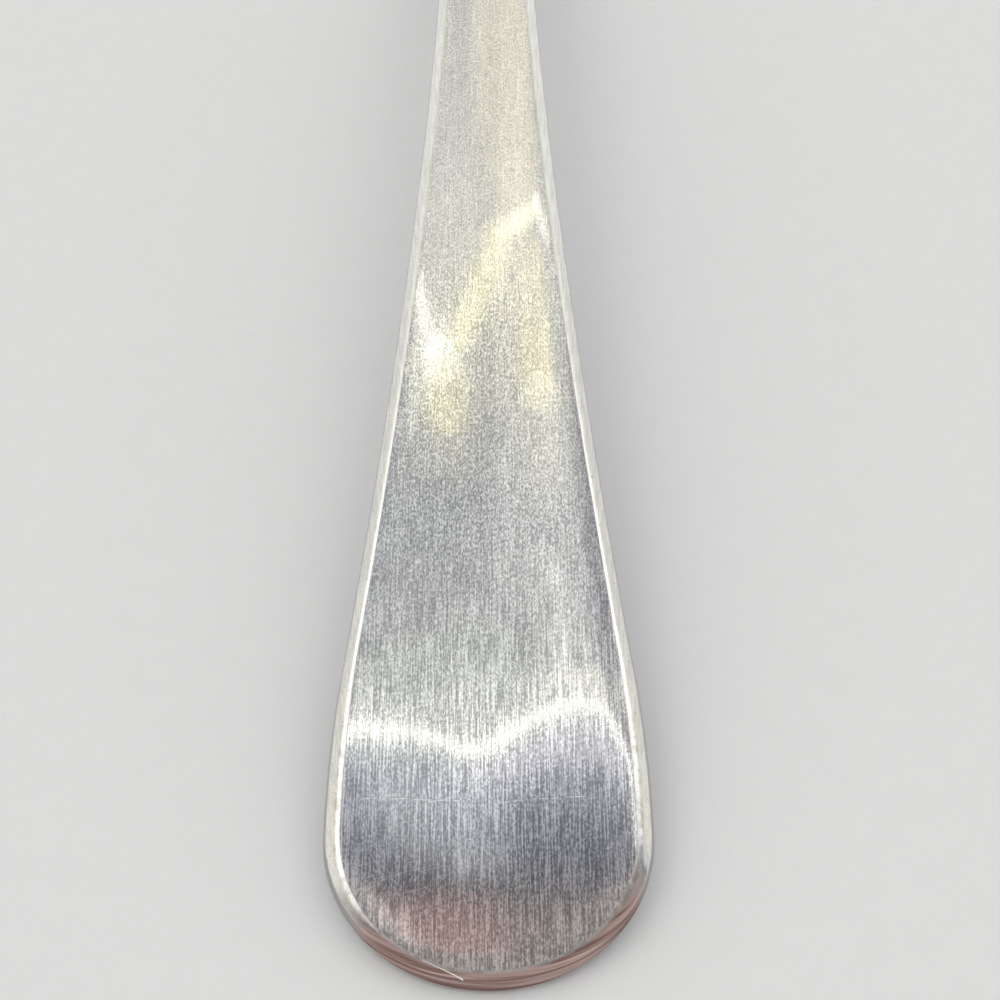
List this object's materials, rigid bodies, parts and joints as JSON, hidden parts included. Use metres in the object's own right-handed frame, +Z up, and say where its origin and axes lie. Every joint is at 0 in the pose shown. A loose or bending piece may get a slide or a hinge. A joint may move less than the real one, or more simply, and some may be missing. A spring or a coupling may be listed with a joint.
{
  "type": "cold meat fork",
  "caption": "Satin stainless steel cold meat fork with a broad round handle end, arched tapering handle, flared head and curved tines.",
  "frame": {"origin": "middle of the fork's length and width, on the surface that it lies on", "axes": "+Y along the fork from the handle end to the points of the tines, +Z up from the surface, +X to the right seen from the handle end"},
  "size_m": [0.034, 0.222, 0.0143],
  "materials": {
    "satin_steel": "satin face brushed along the handle, polished edges"
  },
  "bodies": {
    "root": {"handle_end": "satin_steel", "stem": "satin_steel", "neck": "satin_steel", "tine_root": "satin_steel", "outer_left_tine": "satin_steel", "inner_left_tine": "satin_steel", "inner_right_tine": "satin_steel", "outer_right_tine": "satin_steel"}
  },
  "joints": []
}
